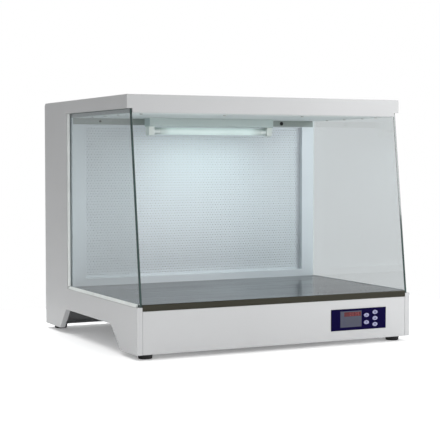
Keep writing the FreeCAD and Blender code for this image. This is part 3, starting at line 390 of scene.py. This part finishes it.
def filter_paper(name):
    look = Look(name, srgb(236, 236, 230), 0.9, Sheen_Weight=0.15)
    look.vary_color(300.0, 0.05, 6.0)
    look.grain(2200.0, 0.5, 0.0003, detail=8.0)
    return look.material


def fleece(name):
    look = Look(name, srgb(226, 228, 228), 0.95, Sheen_Weight=0.4)
    strands = look.node("ShaderNodeTexVoronoi", feature="DISTANCE_TO_EDGE")
    strands.inputs["Scale"].default_value = 420.0
    look.link(look.place(), strands.inputs["Vector"])
    look.vary_color(180.0, 0.10, 6.0)
    look.bump(look.ramp(strands.outputs["Distance"], 0.0, 0.25), 0.8, 0.0008)
    return look.material


def foam(name):
    look = Look(name, srgb(92, 92, 96), 0.9)
    cells = look.node("ShaderNodeTexVoronoi")
    cells.inputs["Scale"].default_value = 900.0
    look.link(look.place(), cells.inputs["Vector"])
    look.vary_color(200.0, 0.15)
    look.bump(cells.outputs["Distance"], 0.6, 0.0004)
    return look.material


def cable_sheath(name):
    look = Look(name, srgb(70, 71, 74), 0.5)
    look.vary_color(60.0, 0.10)
    look.vary_roughness(80.0, 0.08)
    look.grain(900.0, 0.15, 0.0001)
    return look.material


def glowing(name, color, strength, surface):
    """Light-emitting segment behind a tinted front."""
    look = Look(name, surface, 0.3, Emission_Color=color, Emission_Strength=strength)
    look.vary_color(400.0, 0.08)
    look.grain(1500.0, 0.05, 0.0001)
    return look.material


def display_lens(name, color, roughness):
    """Tinted window, a little cloudy, with a faint printed grid."""
    look = Look(name, color, roughness, Specular_IOR_Level=0.25, Coat_Weight=0.1, Coat_Roughness=0.05)
    grid = look.node("ShaderNodeTexChecker")
    grid.inputs["Scale"].default_value = 900.0
    look.link(look.place(), grid.inputs["Vector"])
    pale = tuple(c * 1.12 for c in color[:3]) + (1.0,)
    look.paint(look.mix(grid.outputs["Fac"], color, pale))
    look.vary_roughness(50.0, 0.04)
    return look.material


# ---- finishes ----------------------------------------------------------------------------------------------
LAMP_GLOW = 0.34
PAINT = srgb(182, 183, 184)
ALONG_X = (0.02, 1, 1)
ALONG_Z = (1, 1, 0.02)

BOARD_FACE = 1.7 * MM       # just over the laminate's thickness
control_low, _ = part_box("control_board")

LOOKS = {
    "painted_steel": powder_coat("powder_coat_grey", PAINT),
    "inner_white": powder_coat("powder_coat_white", srgb(220, 225, 229), 0.4),
    "clear_glass": window_glass("window_glass", (0.80, 0.84, 0.85, 1.0), srgb(30, 48, 46)),
    "worktop_steel": worktop_steel("worktop_steel"),
    "zinc_steel": galvanised("galvanised_sheet", srgb(176, 180, 184)),
    "tray_steel": powder_coat("powder_coat_tray", srgb(176, 178, 180), 0.5),
    "screw_steel": sheet_metal("zinc_fasteners", srgb(178, 178, 176), 0.3),
    "glazing_rubber": rubber("glazing_tape", srgb(88, 98, 96)),
    "filter_aluminium": sheet_metal("filter_case", srgb(200, 202, 204), 0.38, ALONG_Z),
    "filter_paper": filter_paper("pleated_paper"),
    "gasket_foam": foam("gasket_foam"),
    "fan_plastic": plastic("fan_plastic", srgb(44, 44, 46), 0.5, 0.25, 900.0),
    "fan_motor_steel": powder_coat("motor_black", srgb(52, 52, 54), 0.38),
    "fan_motor_aluminium": sheet_metal("die_cast", srgb(172, 173, 175), 0.5),
    "bright_steel": sheet_metal("ground_steel", srgb(196, 196, 198), 0.22),
    "cassette_plastic": plastic("cassette_plastic", srgb(50, 50, 53), 0.55, 0.3, 700.0),
    "prefilter_fleece": fleece("fleece"),
    "foot_rubber": rubber("foot_rubber", srgb(30, 30, 31)),
    "lamp_white": powder_coat("lamp_enamel", srgb(190, 203, 201), 0.35),
    "holder_plastic": plastic("holder_plastic", srgb(226, 232, 228), 0.35),
    "lamp_glass": lamp_glass("lamp_glass"),
    "cap_metal": sheet_metal("lamp_cap", srgb(222, 230, 228), 0.55),
    "control_navy": control_film("control_film"),
    "display_lens": display_lens("display_lens", srgb(58, 60, 76), 0.18),
    "display_black": plastic("display_case", srgb(38, 38, 44), 0.4),
    "key_pale": plastic("key_plastic", srgb(142, 143, 174), 0.4, 0.1),
    "switch_black": plastic("switch_plastic", srgb(40, 40, 42), 0.5),
    "circuit_green": circuit_board("circuit_board", control_low.y + BOARD_FACE),
    "inlet_black": plastic("inlet_plastic", srgb(34, 34, 36), 0.42, 0.2, 1400.0),
    "contact_brass": sheet_metal("contact_brass", srgb(214, 188, 120), 0.3),
    "fuse_glass": plastic("fuse_glass", srgb(206, 214, 214), 0.15, 0.02),
    "supply_case": sheet_metal("supply_case", srgb(180, 182, 184), 0.36, ALONG_X),
    "terminal_plastic": plastic("terminal_plastic", srgb(222, 220, 206), 0.45),
    "cable_grey": cable_sheath("cable_sheath"),
}

for part in frame["record"]["subparts"]:
    obj = nodes[part["node"]]
    obj.data.materials.clear()
    obj.data.materials.append(LOOKS[part["material_slot"]])
# the ceiling gets a darker, greener copy of the inner white: painted shade of the ceiling, which faces down
nodes["ceiling_panel"].data.materials[0] = powder_coat("powder_coat_ceiling_painted_shade", srgb(196, 203, 202), 0.45)


# ---- perforated diffuser -----------------------------------------------------------------------------------
PITCH = 6.9 * MM            # from hole to hole along a row
HOLE = 1.2 * MM             # from a hole's middle to its corners
RIM = 7.0 * MM              # plain edge around the holes
SAME_PLACE = 1e-7


def perforated_sheet(low, high):
    """Sheet with staggered hexagonal holes, built cell by cell from a shared honeycomb of corners."""
    row = PITCH * math.sqrt(3) / 2
    corner = PITCH / math.sqrt(3)
    x0, x1, z0, z1 = low.x + RIM, high.x - RIM, low.z + RIM, high.z - RIM
    turns = [math.radians(30 + 60 * k) for k in range(6)]
    bm = bmesh.new()
    shared = {}

    def vertex(x, y, z):
        key = (round(x, 6), round(y, 6), round(z, 6))
        if key not in shared:
            shared[key] = bm.verts.new((x, y, z))
        return shared[key]

    def hexagon(cx, y, cz, radius):
        return [vertex(cx + radius * math.cos(a), y, cz + radius * math.sin(a)) for a in turns]

    rows = int((z1 - z0 - 2 * corner) / row) + 1
    spare = (z1 - z0 - 2 * corner - (rows - 1) * row) / 2
    for r in range(rows):
        shift = PITCH / 2 if r % 2 else 0.0
        count = int((x1 - x0 - PITCH - shift) / PITCH) + 1
        for c in range(count):
            cx = x0 + PITCH / 2 + shift + c * PITCH
            cz = z0 + corner + spare + r * row
            front = hexagon(cx, low.y, cz, corner)
            back = hexagon(cx, high.y, cz, corner)
            hole_front = hexagon(cx, low.y, cz, HOLE)
            hole_back = hexagon(cx, high.y, cz, HOLE)
            for k in range(6):
                j = (k + 1) % 6
                bm.faces.new((front[k], front[j], hole_front[j], hole_front[k]))
                bm.faces.new((back[j], back[k], hole_back[k], hole_back[j]))
                bm.faces.new((hole_front[k], hole_front[j], hole_back[j], hole_back[k]))
    return bm


def close_rim(bm, low, high):
    """Fills between the honeycomb's ragged outline and the sheet's straight edge, and closes that edge."""
    corners = ((low.x, low.z), (high.x, low.z), (high.x, high.z), (low.x, high.z))
    outlines = []
    for y in (low.y, high.y):
        ragged = [e for e in bm.edges
                  if len(e.link_faces) == 1 and all(abs(v.co.y - y) < SAME_PLACE for v in e.verts)]
        outline = [bm.verts.new((x, y, z)) for x, z in corners]
        straight = [bm.edges.new((outline[k], outline[(k + 1) % 4])) for k in range(4)]
        bmesh.ops.triangle_fill(bm, use_beauty=True, use_dissolve=False, edges=ragged + straight)
        outlines.append(outline)
    front, back = outlines
    for k in range(4):
        j = (k + 1) % 4
        bm.faces.new((front[k], front[j], back[j], back[k]))


low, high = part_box("diffuser_plate")
bm = perforated_sheet(low, high)
close_rim(bm, low, high)
diffuser = new_object("perforated_diffuser", bm, LOOKS["inner_white"], "cabinet")
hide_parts("diffuser_plate")


# ---- header strip over the outlet: a plate painted darker as the shade above the lamp ----------------------
STRIP_DEPTH = 0.5 * MM

wall_low, wall_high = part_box("filter_surround")
strip_top = wall_high.z - 0.4 * MM
strip_bottom = wall_high.z - 15.0 * MM
strip_width = wall_high.x - wall_low.x - 4 * MM
strip_outline = bar(0.0, (strip_top + strip_bottom) / 2, strip_width, strip_top - strip_bottom)
bm = bmesh.new()
add_plate(bm, strip_outline, wall_low.y - STRIP_DEPTH, STRIP_DEPTH)
# the strip's grey-green is painted shade: the wall's top above the lamp lies in shade
header_painted_shade = powder_coat("header_painted_shade", srgb(148, 156, 152), 0.5)
new_object("header_shade_strip", bm, header_painted_shade, "cabinet")


# ---- glazing beads and grommets ----------------------------------------------------------------------------
BEAD_REACH = 6.0 * MM       # over the pane, from the post or the sill
BEAD_SHOULDER = 4.4 * MM    # where its face starts to slope away
BEAD_THICKNESS = 4.6 * MM
SHOULDER_THICKNESS = 3.0 * MM
POST_GAP = 0.4 * MM
SILL_GAP = 0.2 * MM
RING_STEPS = 32


def add_prism(bm, section_a, section_b):
    """Adds a closed bar between two matching outlines."""
    a = [bm.verts.new(p) for p in section_a]
    b = [bm.verts.new(p) for p in section_b]
    bm.faces.new(a)
    bm.faces.new(b[::-1])
    for i in range(len(a)):
        j = (i + 1) % len(a)
        bm.faces.new((a[i], b[i], b[j], a[j]))


def glazing_bead(side, sign):
    """Pale bead in the corner between the pane and the side panel's rear post and sill; sign gives x."""
    glass_low, glass_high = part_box("glass_" + side)
    seal_low, seal_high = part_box("glass_seal_" + side)
    post = glass_high.y - 9.5 * MM
    sill = glass_low.z - 0.8 * MM
    top = glass_high.z - 9.4 * MM
    front = glass_low.y + 8.0 * MM
    inner = sign * (max(abs(seal_low.x), abs(seal_high.x)) + 0.05 * MM)
    outer = inner + sign * BEAD_THICKNESS
    soft = inner + sign * SHOULDER_THICKNESS

    def post_section(z):
        return [(inner, post - BEAD_REACH, z), (soft, post - BEAD_SHOULDER, z),
                (outer, post - POST_GAP, z), (inner, post - POST_GAP, z)]

    def sill_section(y):
        return [(inner, y, sill + BEAD_REACH), (soft, y, sill + BEAD_SHOULDER),
                (outer, y, sill + SILL_GAP), (inner, y, sill + SILL_GAP)]

    bm = bmesh.new()
    add_prism(bm, post_section(sill + BEAD_REACH + 0.1 * MM), post_section(top))
    add_prism(bm, sill_section(front), sill_section(post - POST_GAP))
    return bm


bead_look = plastic("glazing_bead", srgb(222, 226, 224), 0.4, 0.08)
for side, sign in (("left", -1), ("right", 1)):
    new_object("glazing_bead_" + side, glazing_bead(side, sign), bead_look, "cabinet")


def grommet(name, x, radius):
    """Rubber ring with its lead-through, on the header strip."""
    bm = bmesh.new()
    y, z = wall_low.y - STRIP_DEPTH, wall_high.z - 7.5 * MM
    turns = [2 * math.pi * k / RING_STEPS for k in range(RING_STEPS)]
    profile = [(radius, 0.0), (radius, 0.8 * MM), (radius * 0.9, 1.3 * MM), (radius * 0.55, 1.3 * MM),
               (radius * 0.42, 0.9 * MM)]
    loops = [[bm.verts.new((x + r * math.cos(a), y - out, z + r * math.sin(a))) for a in turns]
             for r, out in profile]
    bm.faces.new(loops[0])
    bm.faces.new(loops[-1][::-1])
    for a, b in zip(loops, loops[1:]):
        for k in range(RING_STEPS):
            j = (k + 1) % RING_STEPS
            bm.faces.new((a[k], a[j], b[j], b[k]))
    new_object(name, bm, LOOKS["foot_rubber"], "cabinet")


grommet("wire_grommet", 222 * MM, 4.5 * MM)
grommet("sensor_grommet", -245 * MM, 2.6 * MM)


# ---- display -----------------------------------------------------------------------------------------------
def segment_bars(cx, cz, w, h, t):
    """A numeral's seven slim hexagons, clockwise from the top one, and the middle one last."""
    def level(x, z):
        a = w / 2 - t * 0.6
        return [(x - a, z), (x - a + t / 2, z - t / 2), (x + a - t / 2, z - t / 2), (x + a, z),
                (x + a - t / 2, z + t / 2), (x - a + t / 2, z + t / 2)]

    def upright(x, z):
        a = h / 4 - t * 0.6
        return [(x, z - a), (x + t / 2, z - a + t / 2), (x + t / 2, z + a - t / 2), (x, z + a),
                (x - t / 2, z + a - t / 2), (x - t / 2, z - a + t / 2)]

    x0, x1 = cx - w / 2, cx + w / 2
    return [level(cx, cz + h / 2), upright(x1, cz + h / 4), upright(x1, cz - h / 4), level(cx, cz - h / 2),
            upright(x0, cz - h / 4), upright(x0, cz + h / 4), level(cx, cz)]


# which of segment_bars' seven are lit
NUMERALS = {"0": (0, 1, 2, 3, 4, 5), "3": (0, 1, 2, 3, 6), "4": (1, 2, 5, 6), "5": (0, 2, 3, 5, 6)}
FILM = 0.03 * MM            # thickness of what is printed on the window and the keys


def numerals(text, cx, cz, width, height, y):
    """bmesh of the lit numerals of text, spread over width, one film thick."""
    bm = bmesh.new()
    step = width / len(text)
    for k, digit in enumerate(text):
        bars = segment_bars(cx - width / 2 + (k + 0.5) * step, cz, step * 0.5, height, height * 0.14)
        for lit in NUMERALS[digit]:
            add_plate(bm, bars[lit], y, FILM)
    return bm


window_low, window_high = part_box("display_window")
window_w = window_high.x - window_low.x
window_h = window_high.z - window_low.z
strip_x = window_high.x - window_w * 0.42
strip_z = window_high.z - window_h * 0.2
strip_w, strip_h = window_w * 0.8, window_h * 0.27
grey_z = window_low.z + window_h * 0.34

red_filter = display_lens("red_filter", srgb(74, 12, 22), 0.2)
red_lit = glowing("red_numerals", srgb(230, 60, 60), 0.12, srgb(120, 24, 32))
liquid_crystal = plastic("liquid_crystal", srgb(34, 40, 40), 0.35, 0.03)

bm = bmesh.new()
add_plate(bm, bar(strip_x, strip_z, strip_w, strip_h), window_low.y - FILM, FILM)
new_object("display_red_strip", bm, red_filter, "cabinet")
bm = numerals("0035", strip_x + strip_w * 0.1, strip_z, strip_w * 0.62, strip_h * 0.6,
              window_low.y - 2 * FILM)
new_object("display_red_numerals", bm, red_lit, "cabinet")
bm = numerals("0450", strip_x, grey_z, window_w * 0.62, window_h * 0.26, window_low.y - FILM)
new_object("display_grey_numerals", bm, liquid_crystal, "cabinet")


# ---- key symbols -------------------------------------------------------------------------------------------
def power_symbol(cx, cz, s):
    """Open ring with a bar in its gap."""
    return [arc_band(cx, cz, s * 0.5, s * 0.86, 125, 415), bar(cx, cz + s * 0.6, s * 0.32, s * 0.8)]


def fan_symbol(cx, cz, s):
    """Three drop-shaped blades around a hub."""
    shapes = [arc_band(cx, cz, 0.001 * s, s * 0.2, 0, 359, 20)]
    for k in range(3):
        turn = math.radians(90 + 120 * k)
        cosine, sine = math.cos(turn), math.sin(turn)
        blade = []
        for t in range(16):
            a = 2 * math.pi * t / 16
            u = s * (0.58 + 0.34 * math.cos(a))
            v = s * 0.3 * math.sin(a) * (1.25 + 0.5 * math.cos(a))
            blade.append((cx + u * cosine - v * sine, cz + u * sine + v * cosine))
        shapes.append(blade)
    return shapes


def lamp_symbol(cx, cz, s):
    """Bulb over two bars of its base."""
    return [arc_band(cx, cz + s * 0.15, s * 0.32, s * 0.66, -50, 230),
            bar(cx, cz - s * 0.5, s * 0.56, s * 0.22),
            bar(cx, cz - s * 0.82, s * 0.38, s * 0.2)]


def up_symbol(cx, cz, s):
    return [[(cx - s * 0.8, cz - s * 0.5), (cx + s * 0.8, cz - s * 0.5), (cx, cz + s * 0.7)]]


def down_symbol(cx, cz, s):
    return [[(cx - s * 0.8, cz + s * 0.5), (cx + s * 0.8, cz + s * 0.5), (cx, cz - s * 0.7)]]


SYMBOL_SIZE = 3.0 * MM
INK_SHOWS = 0.01 * MM       # the rest of the film's thickness is inside the key
ink = plastic("key_ink", srgb(34, 28, 74), 0.5, 0.05)
SYMBOLS = {
    "key_power": power_symbol,
    "key_fan": fan_symbol,
    "key_lamp": lamp_symbol,
    "key_up": up_symbol,
    "key_down": down_symbol,
}
for key, symbol in SYMBOLS.items():
    low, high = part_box(key)
    middle = (low + high) / 2
    bm = bmesh.new()
    for outline in symbol(middle.x, middle.z, SYMBOL_SIZE):
        add_plate(bm, outline, low.y - INK_SHOWS, FILM)
    new_object(key + "_symbol", bm, ink, key + "_cap")


# ---- studio ------------------------------------------------------------------------------------------------
FLOOR_SIDE, FLOOR_FRONT, FLOOR_REAR = 0.85, -1.2, 0.62


def studio_floor():
    """White table top; it glows more towards its edges, so that it runs into the white background."""
    bm = bmesh.new()
    corners = [(-FLOOR_SIDE, FLOOR_FRONT), (FLOOR_SIDE, FLOOR_FRONT), (FLOOR_SIDE, FLOOR_REAR),
               (-FLOOR_SIDE, FLOOR_REAR)]
    bm.faces.new([bm.verts.new((x, y, 0.0)) for x, y in corners])
    mesh = bpy.data.meshes.new("floor")
    bm.to_mesh(mesh)
    bm.free()
    floor = bpy.data.objects.new("floor", mesh)
    bpy.context.scene.collection.objects.link(floor)
    look = Look("floor_white", (0.92, 0.92, 0.92, 1.0), 0.8, Specular_IOR_Level=0.1,
                Emission_Color=(1, 1, 1, 1))
    away = look.node("ShaderNodeVectorMath", operation="LENGTH")
    look.link(look.place(), away.inputs[0])
    glow = look.ramp(away.outputs["Value"], low=0.25, high=1.3, out_low=0.16, out_high=0.5)
    look.link(glow, look.shader.inputs["Emission Strength"])
    look.vary_color(1.5, 0.01)
    mesh.materials.append(look.material)
    floor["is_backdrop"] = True


def area_light(name, place, target, size, power, color=(1, 1, 1), spread=180):
    """Soft light, not itself seen directly or through the glass; only a key light shows as a gloss."""
    data = bpy.data.lights.new(name, "AREA")
    data.shape = "RECTANGLE"
    data.size, data.size_y = size
    data.energy = power
    data.color = color
    data.spread = math.radians(spread)
    light = bpy.data.objects.new(name, data)
    light.location = place
    light.rotation_euler = (Vector(target) - Vector(place)).to_track_quat("-Z", "Y").to_euler()
    light.visible_camera = False
    light.visible_transmission = False
    light.visible_glossy = name.startswith("key")
    bpy.context.scene.collection.objects.link(light)


def studio_world(level, right, front):
    """White to the camera; as light it is soft, with more from the right and from the front."""
    world = bpy.data.worlds.new("studio")
    bpy.context.scene.world = world
    world.use_nodes = True
    tree = world.node_tree
    background = tree.nodes["Background"]
    where = tree.nodes.new("ShaderNodeTexCoord")
    split = tree.nodes.new("ShaderNodeSeparateXYZ")
    tree.links.new(where.outputs["Generated"], split.inputs[0])

    def ramp(axis, start, end, amount):
        n = tree.nodes.new("ShaderNodeMapRange")
        n.inputs["From Min"].default_value = start
        n.inputs["From Max"].default_value = end
        n.inputs["To Max"].default_value = amount
        tree.links.new(split.outputs[axis], n.inputs["Value"])
        return n.outputs["Result"]

    sides = tree.nodes.new("ShaderNodeMath")
    tree.links.new(ramp("X", -1.0, 1.0, right), sides.inputs[0])
    tree.links.new(ramp("Y", 1.0, -1.0, front), sides.inputs[1])
    soft = tree.nodes.new("ShaderNodeMath")
    tree.links.new(sides.outputs[0], soft.inputs[0])
    soft.inputs[1].default_value = level
    rays = tree.nodes.new("ShaderNodeLightPath")
    choose = tree.nodes.new("ShaderNodeMix")
    choose.data_type = "FLOAT"
    tree.links.new(rays.outputs["Is Camera Ray"], choose.inputs[0])
    tree.links.new(soft.outputs[0], choose.inputs[2])
    choose.inputs[3].default_value = 1.0
    tree.links.new(choose.outputs[0], background.inputs["Strength"])
    background.inputs["Color"].default_value = (1, 1, 1, 1)


studio_floor()
studio_world(level=0.28, right=0.58, front=0.14)
area_light("key_right", place=(1.15, -1.35, 0.85), target=(0.15, -0.1, 0.3), size=(0.7, 0.7), power=12.5)
area_light("top", place=(-0.3, 0.7, 3.6), target=(-0.1, -0.1, 0.0), size=(3.4, 2.4), power=132)

# two lights stand in for what the tube gives: one along it, and one for what the chamber throws back
lamp_low, lamp_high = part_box("lamp_tube")
lamp = (lamp_low + lamp_high) / 2
area_light("lamp_wash", place=lamp + Vector((0.0, -0.03, -0.03)), target=lamp + Vector((0.0, 0.07, -0.15)),
           size=(lamp_high.x - lamp_low.x, 0.05), power=0.068, color=(0.76, 1.0, 1.0), spread=140)
area_light("chamber_fill", place=(-0.09, -0.13, 0.36), target=(-0.07, 0.128, 0.25),
           size=(0.5, 0.10), power=0.084, color=(0.84, 0.96, 1.0), spread=120)


def add_camera(place, tilt, turn, lens):
    """Camera at place; tilt is 90 for a level view, turn is to the left, both in degrees."""
    data = bpy.data.cameras.new("camera")
    data.sensor_width = 36.0
    data.lens = lens
    camera = bpy.data.objects.new("camera", data)
    camera.location = place
    camera.rotation_euler = (math.radians(tilt), 0.0, math.radians(turn))
    bpy.context.scene.collection.objects.link(camera)
    bpy.context.scene.camera = camera


# from the hood's left front, a little above the worktop
add_camera(place=(-1.2738, -2.5789, 0.4037), tilt=87.16, turn=-26.25, lens=103.0)
bpy.context.scene.view_settings.view_transform = "Standard"

low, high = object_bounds()
